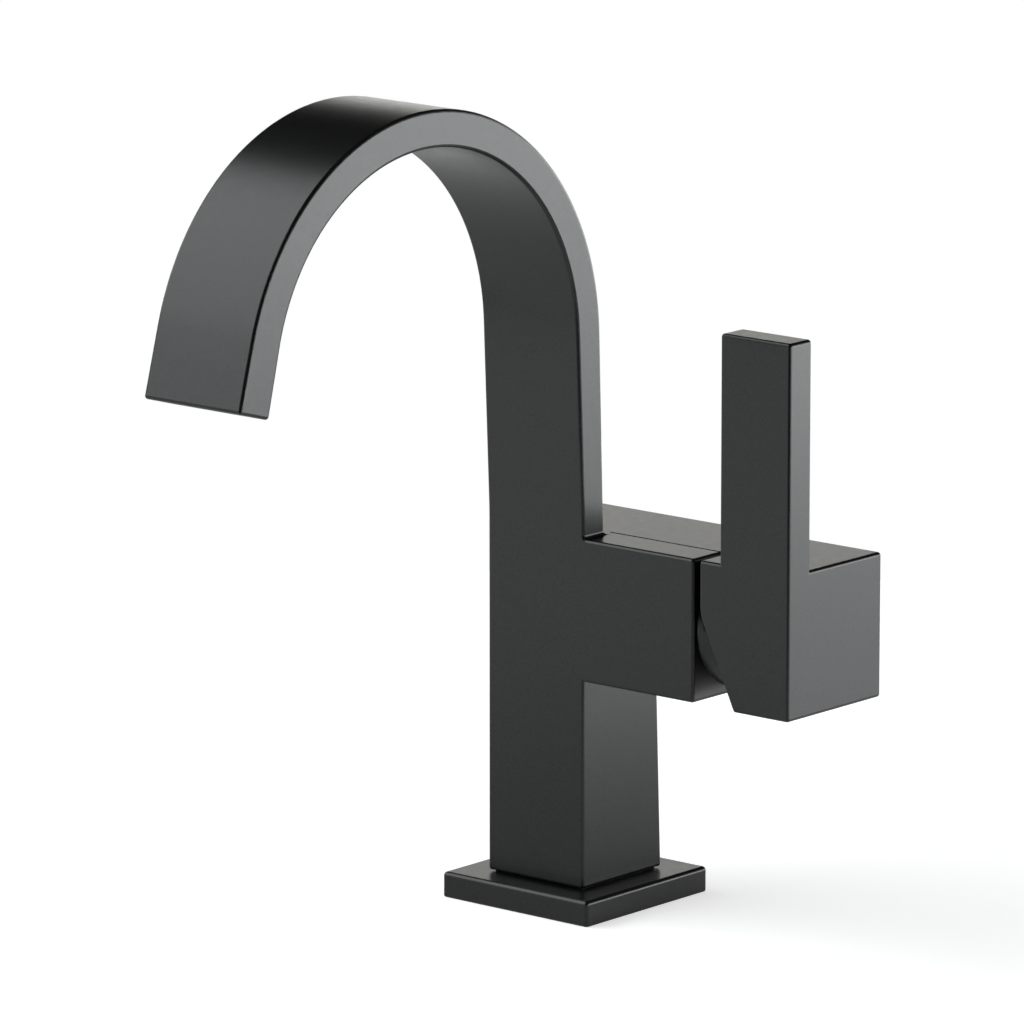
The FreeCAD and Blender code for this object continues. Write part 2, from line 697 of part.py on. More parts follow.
def cartridge_base():
    """Lower end of the cartridge, with ports, seal seats and locating pegs."""
    flange = rod_x(CARTRIDGE_RADIUS, CHAMBER_FLOOR, CHAMBER_FLOOR + BASE_FLANGE)
    plug = rod_x(CARTRIDGE_RADIUS - SHELL_WALL - CARTRIDGE_CLEARANCE, CHAMBER_FLOOR, DISC_START)
    pegs = [rod_x(PEG_RADIUS, CHAMBER_FLOOR - PEG_LENGTH, CHAMBER_FLOOR + THROUGH, y, z)
            for y, z in peg_points()]
    seat = INLET_RADIUS + SEAL_WALL
    tools = port_rods(INLET_RADIUS, CHAMBER_FLOOR - THROUGH, DISC_START + THROUGH)
    tools += port_rods(seat, CHAMBER_FLOOR - THROUGH, CHAMBER_FLOOR + SEAL_HEIGHT)
    tools += port_rods(seat, DISC_START - SEAL_HEIGHT, DISC_START + THROUGH)
    return cut(fuse([flange, plug] + pegs), tools)


def cartridge_shell():
    """Outer shell of the cartridge with the neck that the rotor turns in."""
    inside = CARTRIDGE_RADIUS - SHELL_WALL
    start = CHAMBER_FLOOR + BASE_FLANGE
    barrel = rod_x(CARTRIDGE_RADIUS, start, NUT_SEAT)
    neck = rod_x(NECK_RADIUS, NUT_SEAT - THROUGH, NECK_END)
    bore = rod_x(ROTOR_RADIUS + ROTOR_CLEARANCE, start, NECK_END + THROUGH)
    return cut(fuse([barrel, neck]), [rod_x(inside, start - THROUGH, NUT_SEAT - SHOULDER), bore])


def fixed_disc():
    """Lower ceramic disc with the three ports."""
    disc = rod_x(FIXED_DISC_RADIUS, DISC_START, DISC_START + DISC_THICKNESS)
    return cut(disc, port_rods(INLET_RADIUS, DISC_START - THROUGH, MOVING_START))


def key(x0, x1, clearance):
    """Tongue that locks the moving disc to its carrier."""
    half = KEY_WIDTH / 2 + clearance
    reach = MOVING_DISC_RADIUS + THROUGH
    return block(x0, x1, AXIS_Y - reach, AXIS_Y + reach, MOVING_Z - half, MOVING_Z + half)


def moving_disc():
    """Upper ceramic disc; its pocket joins the ports as it slides and turns."""
    disc = rod_x(MOVING_DISC_RADIUS, MOVING_START, CARRIER_START, z=MOVING_Z)
    pocket = rod_x(MIXING_RADIUS, MOVING_START - THROUGH, MOVING_START + MIXING_DEPTH, z=MOVING_Z)
    slot = key(CARRIER_START - KEY_DEPTH, CARRIER_START + THROUGH, LAP_GAP)
    return cut(disc, [pocket, slot])


def disc_carrier():
    """Slider that carries the moving disc and takes the ball of the stem."""
    disc = rod_x(CARRIER_RADIUS, CARRIER_START, CARRIER_END, z=MOVING_Z)
    tongue = key(CARRIER_START - KEY_DEPTH + LAP_GAP, CARRIER_START + THROUGH, 0.0)
    tongue = tongue.common(rod_x(MOVING_DISC_RADIUS, CHAMBER_FLOOR, CARRIER_END, z=MOVING_Z))
    ribs = [rib(side, 0.0, RIB_HALF_LENGTH, MOVING_Z) for side in (-1, 1)]
    socket = rod_x(BALL_RADIUS + BALL_CLEARANCE, BALL_X - BALL_RADIUS - BALL_CLEARANCE,
                   CARRIER_END + THROUGH)
    return fuse([disc, tongue] + ribs).cut(socket)


def rib(side, clearance, half_length, z):
    """Guide rib between carrier and rotor, on one side of the axis."""
    low, high = sorted((side * (RIB_INNER - clearance), side * (RIB_OUTER + clearance)))
    return block(CARRIER_END - THROUGH, CARRIER_END + RIB_HEIGHT + clearance,
                 AXIS_Y + low, AXIS_Y + high, z - half_length, z + half_length)


def rotor():
    """Part that turns with the handle for temperature and holds the stem's pin."""
    barrel = rod_x(ROTOR_RADIUS, ROTOR_START, ROTOR_END)
    flange = rod_x(ROTOR_FLANGE_RADIUS, ROTOR_START, ROTOR_START + ROTOR_FLANGE)
    lug = sector(STOP_LUG_RADIUS, STOP_HALF_ANGLE, NECK_END + STOP_GAP, ROTOR_END)
    tilt = math.radians(TILT)
    half_height = (ROTOR_END - PIVOT) * math.tan(tilt) + STEM_SIDE / 2 / math.cos(tilt) + LAP_GAP
    half_width = STEM_SIDE / 2 + SLOT_CLEARANCE
    slot = block(ROTOR_START - THROUGH, ROTOR_END + THROUGH, AXIS_Y - half_width, AXIS_Y + half_width,
                 AXIS_Z - half_height, AXIS_Z + half_height)
    groove = tube_x(ROTOR_RADIUS + THROUGH, ROTOR_RADIUS - RING_DEPTH, RING_START, RING_START + RING_WIDTH)
    guides = [rib(side, RIB_CLEARANCE, RIB_HALF_LENGTH + TRAVEL, AXIS_Z) for side in (-1, 1)]
    return cut(fuse([barrel, flange, lug]), [slot, groove, pin_hole(PIN_CLEARANCE)] + guides)


def sector(radius, half_angle, x0, x1):
    """Wedge about the cartridge's axis, centred on straight up."""
    height = radius + THROUGH
    side = height * math.tan(math.radians(half_angle))
    points = [V(x0, AXIS_Y, AXIS_Z), V(x0, AXIS_Y - side, AXIS_Z + height),
              V(x0, AXIS_Y + side, AXIS_Z + height)]
    wedge = Part.Face(Part.makePolygon(points + points[:1])).extrude(V(x1 - x0, 0, 0))
    return rod_x(radius, x0, x1).common(wedge)


def rotor_ring():
    """O-ring that seals the rotor in the neck."""
    return tube_x(ROTOR_RADIUS, ROTOR_RADIUS - RING_DEPTH, RING_START, RING_START + RING_WIDTH)


def slide_washer():
    """Low-friction washer between the rotor's flange and the shell."""
    end = NUT_SEAT - SHOULDER
    return tube_x(ROTOR_FLANGE_RADIUS, ROTOR_RADIUS + NECK_CLEARANCE, end - WASHER, end)


def temperature_stop():
    """Ring on the neck that limits how far the rotor turns."""
    ring = tube_x(STOP_RADIUS, NECK_RADIUS + LAP_GAP, NUT_END, NECK_END + STOP_GAP)
    cap = tube_x(STOP_RADIUS, STOP_INNER, NECK_END + STOP_GAP, ROTOR_END)
    window = sector(STOP_LUG_RADIUS + SLOT_CLEARANCE, TURN + STOP_HALF_ANGLE + STOP_CLEARANCE_ANGLE,
                    NECK_END - THROUGH, ROTOR_END + THROUGH)
    return fuse([ring, cap]).cut(window)


def cartridge_nut():
    """Threaded ring that holds the cartridge down, with four spanner notches."""
    ring = tube_x(NUT_RADIUS, NECK_RADIUS + NECK_CLEARANCE, NUT_SEAT, NUT_END)
    notches = []
    for index in range(NOTCH_COUNT):
        notch = block(NUT_END - NOTCH_DEPTH, NUT_END + THROUGH,
                      AXIS_Y - NOTCH_WIDTH / 2, AXIS_Y + NOTCH_WIDTH / 2,
                      AXIS_Z + NECK_RADIUS, AXIS_Z + NUT_RADIUS + THROUGH)
        notch.rotate(V(0, AXIS_Y, AXIS_Z), X_AXIS, NOTCH_START + index * 360.0 / NOTCH_COUNT)
        notches.append(notch)
    return cut(ring, notches)


def pin_hole(clearance):
    """Cross hole through the rotor and the stem."""
    reach = ROTOR_RADIUS + THROUGH
    return Part.makeCylinder(PIN_RADIUS + clearance, 2 * reach, V(PIVOT, AXIS_Y - reach, AXIS_Z), Y_AXIS)


def stem_pin():
    """Pin that the stem tilts on."""
    half = ROTOR_RADIUS - PIN_INSET
    return Part.makeCylinder(PIN_RADIUS, 2 * half, V(PIVOT, AXIS_Y - half, AXIS_Z), Y_AXIS)


def cartridge_stem():
    """Square stem with the ball that moves the discs."""
    half = STEM_SIDE / 2
    heel = PIVOT - STEM_HEEL
    bar = block(heel, STEM_END, AXIS_Y - half, AXIS_Y + half, AXIS_Z - half, AXIS_Z + half)
    neck = rod_x(BALL_NECK_RADIUS, BALL_X, heel + THROUGH)
    ball = Part.makeSphere(BALL_RADIUS, V(BALL_X, AXIS_Y, AXIS_Z))
    return fuse([bar, neck, ball]).cut(pin_hole(2 * PIN_CLEARANCE))


# ---------------------------------------------------------------- dome

def ball_at_pivot(radius):
    return Part.makeSphere(radius, V(PIVOT, AXIS_Y, AXIS_Z))


def dome():
    """Round cap over the cartridge, which the hub's hollow follows as it tilts."""
    reach = DOME_RADIUS + THROUGH
    half_space = rod_x(reach, HOUSING_REACH, PIVOT + reach)
    shell = ball_at_pivot(DOME_RADIUS).common(half_space).cut(ball_at_pivot(DOME_RADIUS - DOME_WALL))
    spigot_outer = THREAD_RADIUS - CARTRIDGE_CLEARANCE
    spigot_inner = spigot_outer - SPIGOT_WALL
    start = HOUSING_REACH - SPIGOT_LENGTH
    spigot = tube_x(spigot_outer, spigot_inner, start, HOUSING_REACH + DOME_FLANGE)
    flange = tube_x(DOME_RADIUS, spigot_inner, HOUSING_REACH, HOUSING_REACH + DOME_FLANGE)
    flange = flange.common(ball_at_pivot(DOME_RADIUS))
    half_angle = math.radians(TILT + DOME_OPENING_MARGIN)
    opening = rod_x((DOME_RADIUS - DOME_WALL) * math.sin(half_angle),
                    HOUSING_REACH + DOME_FLANGE, PIVOT + reach)
    groove = tube_x(spigot_outer + THROUGH, spigot_outer - DOME_RING_DEPTH, *dome_ring_span())
    return cut(fuse([shell, spigot, flange]), [opening, groove])


def dome_ring_span():
    start = HOUSING_REACH - SPIGOT_LENGTH + SPIGOT_GROOVE_INSET
    return start, start + DOME_RING_WIDTH


def dome_ring():
    """O-ring that holds the dome in the housing."""
    outer = THREAD_RADIUS - CARTRIDGE_CLEARANCE
    return tube_x(outer, outer - DOME_RING_DEPTH, *dome_ring_span())


# ---------------------------------------------------------------- handle

def hub():
    """Square hub whose inner lower corner is cut back."""
    slope = math.tan(math.radians(TILT + HUB_CHAMFER_MARGIN))
    foot_x = HUB_START + (HUB_CHAMFER_TOP - HUB_BOTTOM) * slope
    points = [
        V(HUB_START, FRONT, HUB_CHAMFER_TOP),
        V(HUB_START, FRONT, HOUSING_TOP),
        V(HUB_END, FRONT, HOUSING_TOP),
        V(HUB_END, FRONT, HUB_BOTTOM),
        V(foot_x, FRONT, HUB_BOTTOM),
    ]
    solid = Part.Face(Part.makePolygon(points + points[:1])).extrude(V(0, HOUSING_DEPTH, 0))
    start = V(HUB_START, FRONT, HUB_CHAMFER_TOP)
    soft = [edge for edge in solid.Edges
            if edge.BoundBox.YLength > THROUGH and edge.distToShape(Part.Vertex(start))[0] < NEAR]
    return solid.makeFillet(HUB_CHAMFER_ROUND, soft)


def lever():
    """Upright flat bar on the front of the hub."""
    return block(HUB_END - LEVER_WIDTH, HUB_END, FRONT, FRONT + LEVER_THICKNESS,
                 HOUSING_TOP - THROUGH, LEVER_TOP)


def screw_x():
    return STEM_END - SCREW_FROM_STEM_END


def rod_down(radius, z0, z1):
    """Upright rod on the set screw's axis."""
    return Part.makeCylinder(radius, z1 - z0, V(screw_x(), AXIS_Y, z0))


def handle():
    """Hub and lever in one casting."""
    solid = fuse([hub(), lever()])
    solid = solid.makeFillet(HANDLE_EDGE, convex_edges(solid))
    tools = [
        ball_at_pivot(DOME_RADIUS + HUB_DOME_GAP),
        rod_x(ADAPTER_RADIUS, ADAPTER_START - 2 * THROUGH, ADAPTER_END),
        rod_down(SCREW_RADIUS + SCREW_CLEARANCE, HUB_BOTTOM - THROUGH, AXIS_Z),
        rod_down(PLUG_RADIUS + SCREW_CLEARANCE, HUB_BOTTOM - THROUGH, HUB_BOTTOM + PLUG_LENGTH),
    ]
    return cut(solid, tools)


def handle_adapter():
    """Insert that takes the square stem."""
    solid = rod_x(ADAPTER_RADIUS - ADAPTER_CLEARANCE, ADAPTER_START, ADAPTER_END)
    half = STEM_SIDE / 2 + ADAPTER_CLEARANCE
    hole = block(ADAPTER_START - THROUGH, STEM_END + ADAPTER_CLEARANCE,
                 AXIS_Y - half, AXIS_Y + half, AXIS_Z - half, AXIS_Z + half)
    return cut(solid, [hole, rod_down(SCREW_RADIUS + SCREW_CLEARANCE, HUB_BOTTOM, AXIS_Z)])


def set_screw():
    """Grub screw that holds the handle on the stem."""
    top = AXIS_Z - STEM_SIDE / 2
    bottom = top - SCREW_LENGTH
    radius = HEX_ACROSS / math.sqrt(3)
    turns = [2 * math.pi * index / HEX_SIDES for index in range(HEX_SIDES)]
    points = [V(screw_x() + radius * math.cos(turn), AXIS_Y + radius * math.sin(turn), bottom - THROUGH)
              for turn in turns]
    socket = Part.Face(Part.makePolygon(points + points[:1])).extrude(V(0, 0, HEX_DEPTH + THROUGH))
    return rod_down(SCREW_RADIUS, bottom, top).cut(socket)


def screw_plug():
    """Cap that closes the set screw's hole under the hub."""
    return rod_down(PLUG_RADIUS, HUB_BOTTOM, HUB_BOTTOM + PLUG_LENGTH)


write({
    "faucet_body": faucet_body(),
    "waterway_liner": waterway_liner(),
    "base_plate": base_plate(),
    "base_gasket": base_gasket(),
    "neck_seal": neck_seal(),
    "outlet_frame": outlet_frame(),
    "flow_straightener": flow_straightener(),
    "flow_restrictor": flow_restrictor(),
    "outlet_seal": outlet_seal(),
    "cartridge_base": cartridge_base(),
    "base_port_seals": port_seals(CHAMBER_FLOOR),
    "disc_port_seals": port_seals(DISC_START - SEAL_HEIGHT),
    "cartridge_shell": cartridge_shell(),
    "fixed_disc": fixed_disc(),
    "moving_disc": moving_disc(),
    "disc_carrier": disc_carrier(),
    "rotor": rotor(),
    "rotor_ring": rotor_ring(),
    "slide_washer": slide_washer(),
    "stem_pin": stem_pin(),
    "cartridge_stem": cartridge_stem(),
    "temperature_stop": temperature_stop(),
    "cartridge_nut": cartridge_nut(),
    "dome": dome(),
    "dome_ring": dome_ring(),
    "handle": handle(),
    "handle_adapter": handle_adapter(),
    "set_screw": set_screw(),
    "screw_plug": screw_plug(),
})
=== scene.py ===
import json
import math

import bpy
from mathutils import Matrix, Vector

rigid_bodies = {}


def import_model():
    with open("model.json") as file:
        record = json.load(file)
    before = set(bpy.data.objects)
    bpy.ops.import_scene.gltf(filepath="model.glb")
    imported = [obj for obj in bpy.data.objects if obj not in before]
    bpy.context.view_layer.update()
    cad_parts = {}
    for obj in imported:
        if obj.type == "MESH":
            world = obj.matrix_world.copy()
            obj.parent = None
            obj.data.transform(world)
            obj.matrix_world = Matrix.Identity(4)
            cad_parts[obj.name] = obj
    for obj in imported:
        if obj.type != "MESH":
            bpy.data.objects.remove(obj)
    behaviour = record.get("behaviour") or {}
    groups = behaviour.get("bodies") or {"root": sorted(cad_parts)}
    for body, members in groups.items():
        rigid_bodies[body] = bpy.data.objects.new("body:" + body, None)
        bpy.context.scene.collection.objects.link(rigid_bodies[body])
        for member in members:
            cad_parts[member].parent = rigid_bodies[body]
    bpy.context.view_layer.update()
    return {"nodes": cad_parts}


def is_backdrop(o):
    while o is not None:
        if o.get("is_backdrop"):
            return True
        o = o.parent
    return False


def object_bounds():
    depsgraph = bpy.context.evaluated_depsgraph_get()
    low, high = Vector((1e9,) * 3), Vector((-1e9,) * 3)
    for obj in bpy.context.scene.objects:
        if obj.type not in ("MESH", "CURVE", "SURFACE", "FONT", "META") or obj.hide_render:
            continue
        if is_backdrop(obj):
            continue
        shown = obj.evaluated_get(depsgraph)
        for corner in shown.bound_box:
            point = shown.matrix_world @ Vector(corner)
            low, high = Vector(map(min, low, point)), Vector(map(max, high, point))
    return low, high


# Camera: metres, degrees, and millimetres for lens and sensor
CAMERA_PLACE = (1.44154, -1.72304, 0.58907)
CAMERA_TURN = 40.348
CAMERA_DIP = 12.162
CAMERA_LENS = 303.72
CAMERA_SENSOR = 36.0

# Table top: white to the camera but for the object's shadow; in reflections it glows, with painted shade
# that makes it dimmer near the object
TABLE_RADIUS = 0.40
TABLE_DROP = 0.00002
TABLE_SIDES = 96
TABLE_COLOUR = (0.8, 0.8, 0.8)
TABLE_GLOW = 0.58
# Painted shade: glow levels seen only in reflections, low near the object and higher further out, over
# the reach from the centre
TABLE_PAINTED_SHADE_SHEEN = (0.05, 0.47)
TABLE_PAINTED_SHADE_REACH = (0.04, 0.42)
TABLE_PAINTED_SHADE_CENTRE = (-0.07, -0.09, 0.0)

# White wall curved round behind the table
WALL_RADIUS = 4.0
WALL_START = 10
WALL_END = 170
WALL_STEP = 5
WALL_BOTTOM = -0.05
WALL_TOP = 1.22
WALL_COLOUR = (0.82, 0.815, 0.78)
WALL_GLOW = 1.38

# Room: how bright it is as a light, in reflections, and where the camera looks past the stage
ROOM_FILL = 0.25
ROOM_SHEEN = 0.02
ROOM_WHITE = 1.0
WHITE = (1.0, 1.0, 1.0, 1.0)

# Soft boxes: name, direction and rise of the centre as seen from the object, width, height, brightness
BOX_DISTANCE = 1.5
BOX_AIM = 0.12
BOX_COLOUR = (0.965, 0.99, 1.0)
SOFT_BOXES = (
    ("right_box", 38.0, -3.0, 3.4, 0.50, 6.3),
    ("left_box", 217.0, 34.0, 1.76, 1.36, 2.85),
    ("low_left_box", 230.0, -9.0, 3.2, 0.55, 1.0),
    ("low_back_box", 133.0, -9.0, 2.4, 0.55, 0.6),
)

# Finishes: texture scales are features per metre and relief heights are metres
NOISE_RANGE = (0.3, 0.7)
GRAIN_SCALE = 2400.0
GRAIN_RANGE = (0.40, 0.60)
COATING_IOR = 1.48
COATING_DARK = (0.0014, 0.0015, 0.0016)
COATING_LIGHT = (0.0068, 0.0070, 0.0073)
DOME_IOR = 1.5
DOME_DARK = (0.0014, 0.0014, 0.0016)
DOME_LIGHT = (0.0064, 0.0065, 0.0069)
RUBBER_DARK = (0.010, 0.010, 0.011)
RUBBER_LIGHT = (0.022, 0.022, 0.023)
FOAM_DARK = (0.012, 0.012, 0.013)
FOAM_LIGHT = (0.028, 0.028, 0.029)
FOAM_CELLS = 1600.0
FOAM_CELL_DEPTH = 0.00006
CLEAR_IOR = 1.49
CLEAR_DARK = (0.80, 0.85, 0.86)
CLEAR_LIGHT = (0.92, 0.95, 0.95)
CERAMIC_DARK = (0.70, 0.68, 0.64)
CERAMIC_LIGHT = (0.84, 0.83, 0.80)
TOOL_MARK_SCALE = 2400.0
TOOL_MARK_DEPTH = 0.000004

# Plastics: name, dark and light colour
PLASTICS = (
    ("black_plastic", (0.008, 0.008, 0.009), (0.016, 0.016, 0.017)),
    ("grey_plastic", (0.16, 0.165, 0.17), (0.23, 0.235, 0.24)),
    ("white_plastic", (0.70, 0.70, 0.68), (0.80, 0.80, 0.78)),
    ("red_plastic", (0.42, 0.020, 0.018), (0.56, 0.035, 0.028)),
)

# Metals: name, dark and light colour, roughness range, stretch of the tool marks
METALS = (
    ("brass", (0.62, 0.43, 0.17), (0.80, 0.59, 0.27), (0.23, 0.38), (1.0, 0.08, 0.08)),
    ("steel", (0.48, 0.47, 0.45), (0.62, 0.61, 0.59), (0.19, 0.34), (0.08, 1.0, 0.08)),
)


def camera():
    """A long lens that looks at the front and the handle's side, from a little above."""
    data = bpy.data.cameras.new("camera")
    data.lens = CAMERA_LENS
    data.sensor_width = CAMERA_SENSOR
    shot = bpy.data.objects.new("camera", data)
    shot.location = CAMERA_PLACE
    shot.rotation_euler = (math.radians(90.0 - CAMERA_DIP), 0.0, math.radians(CAMERA_TURN))
    bpy.context.scene.collection.objects.link(shot)
    bpy.context.scene.camera = shot


class Graph:
    """A material's node tree, with short calls for the nodes used here."""

    def __init__(self, name):
        self.material = bpy.data.materials.new(name)
        self.material.use_nodes = True
        self.tree = self.material.node_tree
        self.shader = self.tree.nodes["Principled BSDF"]
        self.place = self.node("ShaderNodeTexCoord").outputs["Object"]

    def node(self, kind):
        return self.tree.nodes.new(kind)

    def link(self, source, target):
        self.tree.links.new(source, target)

    def set(self, **values):
        """Uniform values of the shader, named as its sockets with _ for a space."""
        for key, value in values.items():
            self.shader.inputs[key.replace("_", " ")].default_value = value

    def noise(self, scale, detail=2.0, harshness=0.5, stretch=(1.0, 1.0, 1.0)):
        """Noise with `scale` features per metre; a small number in `stretch` draws them out that way."""
        mapping = self.node("ShaderNodeMapping")
        mapping.inputs["Scale"].default_value = stretch
        self.link(self.place, mapping.inputs["Vector"])
        made = self.node("ShaderNodeTexNoise")
        made.inputs["Scale"].default_value = scale
        made.inputs["Detail"].default_value = detail
        made.inputs["Roughness"].default_value = harshness
        self.link(mapping.outputs["Vector"], made.inputs["Vector"])
        return made.outputs["Fac"]

    def cells(self, scale):
        """Distance from the middles of cells, `scale` of them per metre."""
        made = self.node("ShaderNodeTexVoronoi")
        made.inputs["Scale"].default_value = scale
        self.link(self.place, made.inputs["Vector"])
        return made.outputs["Distance"]

    def spread(self, source, low, high, taken=NOISE_RANGE):
        """The `taken` range of the source carried to low..high."""
        made = self.node("ShaderNodeMapRange")
        made.inputs["From Min"].default_value = taken[0]
        made.inputs["From Max"].default_value = taken[1]
        made.inputs["To Min"].default_value = low
        made.inputs["To Max"].default_value = high
        self.link(source, made.inputs["Value"])
        return made.outputs["Result"]

    def colour(self, source, dark, light):
        """A base colour between dark and light, by the source."""
        made = self.node("ShaderNodeMix")
        made.data_type = "RGBA"
        self.link(source, made.inputs["Factor"])
        made.inputs["A"].default_value = (*dark, 1.0)
        made.inputs["B"].default_value = (*light, 1.0)
        self.link(made.outputs["Result"], self.shader.inputs["Base Color"])

    def grain(self, dark, light):
        """Fine dark and light grains in the base colour."""
        grains = self.spread(self.noise(GRAIN_SCALE, detail=1.0), 0.0, 1.0, GRAIN_RANGE)
        self.colour(grains, dark, light)

    def roughness(self, source, smoothest, roughest):
        """A roughness between the two values, by the source."""
        self.link(self.spread(source, smoothest, roughest), self.shader.inputs["Roughness"])

    def bump(self, source, height, under=None):
        """Relief of `height` metres; `under` is the relief below it."""
        made = self.node("ShaderNodeBump")
        made.inputs["Strength"].default_value = 1.0
        made.inputs["Distance"].default_value = height
        self.link(source, made.inputs["Height"])
        if under is not None:
            self.link(under, made.inputs["Normal"])
        self.link(made.outputs["Normal"], self.shader.inputs["Normal"])
        return made.outputs["Normal"]


def black_finish():
    """Satin black coating on metal: faint orange peel over a fine speckled grain."""
    g = Graph("black_finish")
    g.set(IOR=COATING_IOR)
    g.grain(COATING_DARK, COATING_LIGHT)
    g.roughness(g.noise(420.0, detail=3.0), 0.29, 0.32)
    peel = g.bump(g.noise(620.0), height=0.000007)
    g.bump(g.noise(2600.0, detail=1.0), height=0.000003, under=peel)
    return g.material


def dome_finish():
    """The same coating on the cartridge dome, a little glossier."""
    g = Graph("dome_finish")
    g.set(IOR=DOME_IOR)
    g.grain(DOME_DARK, DOME_LIGHT)
    g.roughness(g.noise(200.0, detail=3.0), 0.22, 0.28)
    g.bump(g.noise(700.0), height=0.000003)
    return g.material


def black_rubber():
    """Moulded rubber: dull, with a fine pebbled skin and a light bloom."""
    g = Graph("black_rubber")
    g.colour(g.noise(240.0, detail=4.0), RUBBER_DARK, RUBBER_LIGHT)
    g.roughness(g.noise(500.0), 0.56, 0.68)
    g.bump(g.noise(3200.0), height=0.00001)
    return g.material


def foam_rubber():
    """Closed-cell foam: small round cells break the surface."""
    g = Graph("foam_rubber")
    g.set(Roughness=0.9)
    g.colour(g.noise(400.0, detail=4.0), FOAM_DARK, FOAM_LIGHT)
    g.bump(g.cells(FOAM_CELLS), height=FOAM_CELL_DEPTH)
    return g.material


def plastic(name, dark, light):
    """Moulded plastic: flow clouds and a fine spark-eroded texture."""
    g = Graph(name)
    g.colour(g.noise(90.0, detail=4.0), dark, light)
    g.roughness(g.noise(300.0, detail=3.0), 0.33, 0.43)
    g.bump(g.noise(4200.0, detail=3.0), height=0.000004)
    return g.material


def clear_plastic():
    """Clear moulded plastic, a little cloudy."""
    g = Graph("clear_plastic")
    g.set(Transmission_Weight=0.85, IOR=CLEAR_IOR)
    g.colour(g.noise(120.0, detail=3.0), CLEAR_DARK, CLEAR_LIGHT)
    g.roughness(g.noise(260.0, detail=3.0), 0.08, 0.16)
    g.bump(g.noise(900.0), height=0.000003)
    return g.material


def ceramic():
    """Lapped alumina: near white, faintly speckled, with a soft gloss."""
    g = Graph("ceramic")
    g.colour(g.noise(900.0, detail=5.0, harshness=0.7), CERAMIC_DARK, CERAMIC_LIGHT)
    g.roughness(g.noise(600.0, detail=3.0), 0.16, 0.28)
    g.bump(g.noise(5200.0), height=0.000001)
    return g.material


def metal(name, dark, light, roughness, stretch):
    """Machined metal: fine tool marks, with duller and brighter patches."""
    g = Graph(name)
    g.set(Metallic=1.0)
    g.colour(g.noise(110.0, detail=5.0, harshness=0.6), dark, light)
    g.roughness(g.noise(340.0, detail=4.0), *roughness)
    g.bump(g.noise(TOOL_MARK_SCALE, stretch=stretch), height=TOOL_MARK_DEPTH)
    return g.material


def finishes():
    """One material for each slot of the record, by its name."""
    made = [black_finish(), dome_finish(), black_rubber(), foam_rubber(), clear_plastic(), ceramic()]
    made += [plastic(*row) for row in PLASTICS]
    made += [metal(*row) for row in METALS]
    return {material.name: material for material in made}


def dress(nodes):
    """Gives every CAD node the finish of its slot, which its packed material is named after."""
    plain = {node: node.material_slots[0].material for node in nodes}
    slots = {node: material.name for node, material in plain.items()}
    for material in set(plain.values()):
        bpy.data.materials.remove(material)
    made = finishes()
    for node, slot in slots.items():
        node.material_slots[0].material = made[slot]


def ray_is(tree, *kinds):
    """1 for the named kinds of ray."""
    path = tree.nodes.new("ShaderNodeLightPath")
    total = path.outputs[kinds[0]]
    for kind in kinds[1:]:
        either = tree.nodes.new("ShaderNodeMath")
        either.operation = "MAXIMUM"
        tree.links.new(total, either.inputs[0])
        tree.links.new(path.outputs[kind], either.inputs[1])
        total = either.outputs[0]
    return total


def by_distance(tree, centre, reach, levels):
    """A level that runs from the first to the second over the reach's distances from a centre."""
    place = tree.nodes.new("ShaderNodeTexCoord")
    length = tree.nodes.new("ShaderNodeVectorMath")
    length.operation = "DISTANCE"
    length.inputs[1].default_value = centre
    ramp = tree.nodes.new("ShaderNodeMapRange")
    ramp.inputs["From Min"].default_value = reach[0]
    ramp.inputs["From Max"].default_value = reach[1]
    ramp.inputs["To Min"].default_value = levels[0]
    ramp.inputs["To Max"].default_value = levels[1]
    tree.links.new(place.outputs["Object"], length.inputs[0])
    tree.links.new(length.outputs["Value"], ramp.inputs["Value"])
    return ramp.outputs["Result"]


class Pale:
    """A matt pale material for the stage, which can glow a little in its own colour."""

    def __init__(self, name, colour):
        self.material = bpy.data.materials.new(name)
        self.material.use_nodes = True
        self.tree = self.material.node_tree
        self.tree.nodes.clear()
        matt = self.tree.nodes.new("ShaderNodeBsdfDiffuse")
        matt.inputs["Color"].default_value = (*colour, 1.0)
        self.hue = [level / max(colour) for level in colour]
        self.surface = matt.outputs[0]

    def emission(self, strength):
        """A glow whose strength is a number or another node's output."""
        made = self.tree.nodes.new("ShaderNodeEmission")
        made.inputs["Color"].default_value = (*self.hue, 1.0)
        if isinstance(strength, float):
            made.inputs["Strength"].default_value = strength
        else:
            self.tree.links.new(strength, made.inputs["Strength"])
        return made.outputs[0]

    def add_glow(self, strength, *kinds):
        """Adds a glow that only the named kinds of ray see."""
        pick = self.tree.nodes.new("ShaderNodeMixShader")
        total = self.tree.nodes.new("ShaderNodeAddShader")
        self.tree.links.new(ray_is(self.tree, *kinds), pick.inputs[0])
        self.tree.links.new(self.emission(0.0), pick.inputs[1])
        self.tree.links.new(self.emission(strength), pick.inputs[2])
        self.tree.links.new(self.surface, total.inputs[0])
        self.tree.links.new(pick.outputs[0], total.inputs[1])
        self.surface = total.outputs[0]

    def finished(self):
        out = self.tree.nodes.new("ShaderNodeOutputMaterial")
        self.tree.links.new(self.surface, out.inputs["Surface"])
        return self.material


def stage_piece(name, points, faces, material):
    mesh = bpy.data.meshes.new(name)
    mesh.from_pydata(points, [], faces)
    mesh.materials.append(material)
    piece = bpy.data.objects.new(name, mesh)
    bpy.context.scene.collection.objects.link(piece)
    piece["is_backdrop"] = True


def ring_point(radius, degrees, height):
    turn = math.radians(degrees)
    return (radius * math.cos(turn), radius * math.sin(turn), height)


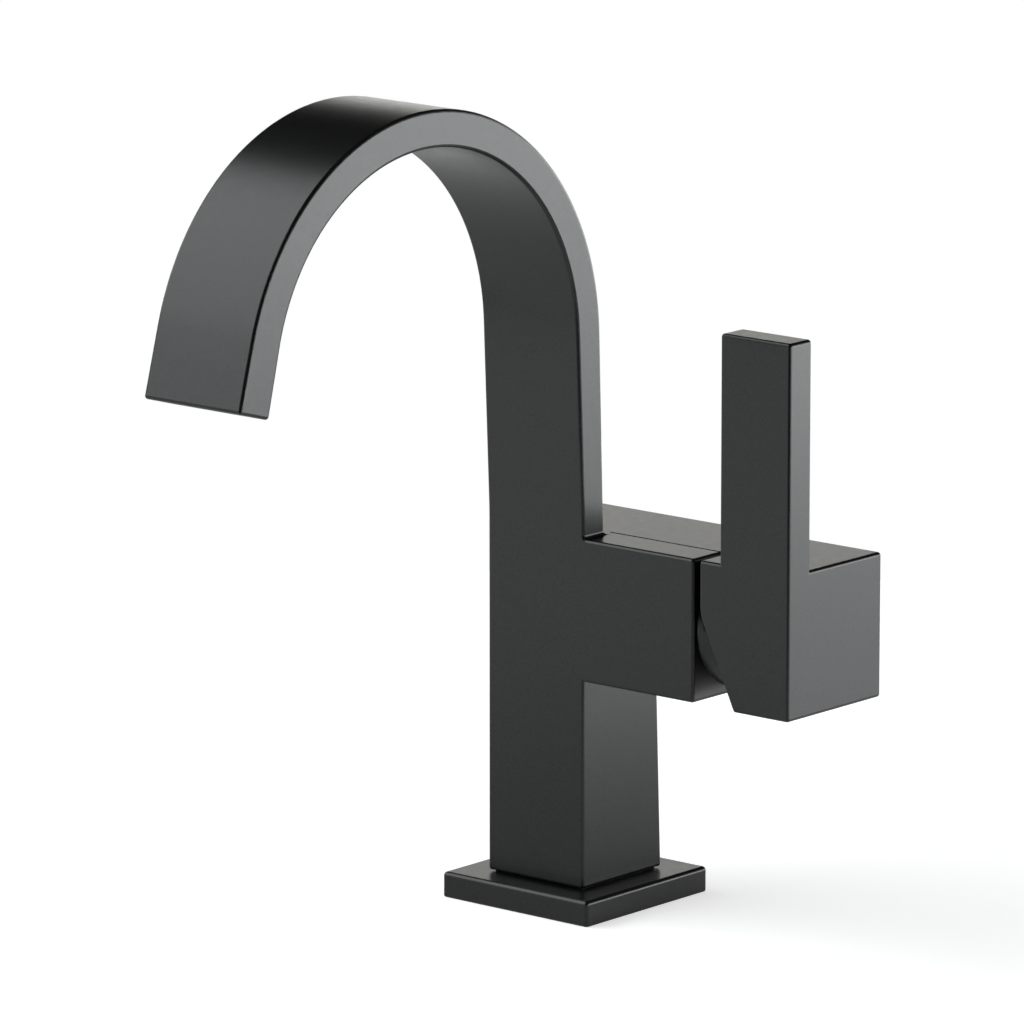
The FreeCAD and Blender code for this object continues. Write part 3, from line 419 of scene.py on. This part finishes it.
def table_top():
    """A round white top just under the object's foot."""
    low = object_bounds()[0][2] - TABLE_DROP
    step = 360.0 / TABLE_SIDES
    points = [ring_point(TABLE_RADIUS, step * i, low) for i in range(TABLE_SIDES)]
    white = Pale("table_top", TABLE_COLOUR)
    white.add_glow(TABLE_GLOW, "Is Camera Ray", "Is Transmission Ray")
    # Painted shade: a glow seen only in reflections, dimmer near the object as a painted contact shadow
    shaded_sheen = by_distance(white.tree, TABLE_PAINTED_SHADE_CENTRE, TABLE_PAINTED_SHADE_REACH, TABLE_PAINTED_SHADE_SHEEN)
    white.add_glow(shaded_sheen, "Is Glossy Ray")
    stage_piece("table_top", points, [tuple(range(TABLE_SIDES))], white.finished())


def wall():
    """A tall white wall, curved round the back of the room."""
    turns = range(WALL_START, WALL_END + WALL_STEP, WALL_STEP)
    points = []
    for turn in turns:
        points.append(ring_point(WALL_RADIUS, turn, WALL_BOTTOM))
        points.append(ring_point(WALL_RADIUS, turn, WALL_TOP))
    faces = [(2 * i, 2 * i + 1, 2 * i + 3, 2 * i + 2) for i in range(len(turns) - 1)]
    white = Pale("wall", WALL_COLOUR)
    white.add_glow(WALL_GLOW, "Is Camera Ray", "Is Transmission Ray")
    white.add_glow(WALL_GLOW, "Is Glossy Ray")
    stage_piece("wall", points, faces, white.finished())


def room():
    """White where the camera looks past the stage, and a plain soft fill from all round."""
    world = bpy.data.worlds.new("room")
    world.use_nodes = True
    bpy.context.scene.world = world
    tree = world.node_tree
    surface = tree.nodes["Background"]
    surface.inputs["Color"].default_value = WHITE
    surface.inputs["Strength"].default_value = ROOM_FILL
    rays = (
        ("Is Glossy Ray", ROOM_SHEEN),
        ("Is Transmission Ray", ROOM_WHITE),
        ("Is Camera Ray", ROOM_WHITE),
    )
    for kind, strength in rays:
        other = tree.nodes.new("ShaderNodeBackground")
        other.inputs["Color"].default_value = WHITE
        other.inputs["Strength"].default_value = strength
        pick = tree.nodes.new("ShaderNodeMixShader")
        tree.links.new(ray_is(tree, kind), pick.inputs[0])
        tree.links.new(surface.outputs[0], pick.inputs[1])
        tree.links.new(other.outputs[0], pick.inputs[2])
        surface = pick
    tree.links.new(surface.outputs[0], tree.nodes["World Output"].inputs["Surface"])


def soft_box(name, turn, rise, width, height, brightness):
    """A rectangular lamp that faces the object and isn't in the picture itself."""
    data = bpy.data.lights.new(name, "AREA")
    data.shape = "RECTANGLE"
    data.size = width
    data.size_y = height
    data.energy = brightness * math.pi * width * height
    data.color = BOX_COLOUR
    made = bpy.data.objects.new(name, data)
    level = BOX_DISTANCE * math.cos(math.radians(rise))
    made.location = ring_point(level, turn, BOX_AIM + BOX_DISTANCE * math.sin(math.radians(rise)))
    made.rotation_euler = (math.radians(90.0 - rise), 0.0, math.radians(turn + 90.0))
    made.visible_camera = False
    bpy.context.scene.collection.objects.link(made)


def studio():
    """Camera, room, stage and lamps."""
    bpy.context.scene.view_settings.view_transform = "Standard"
    camera()
    room()
    table_top()
    wall()
    for row in SOFT_BOXES:
        soft_box(*row)


for old in list(bpy.data.objects):
    bpy.data.objects.remove(old)
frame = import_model()
dress(frame["nodes"].values())
studio()
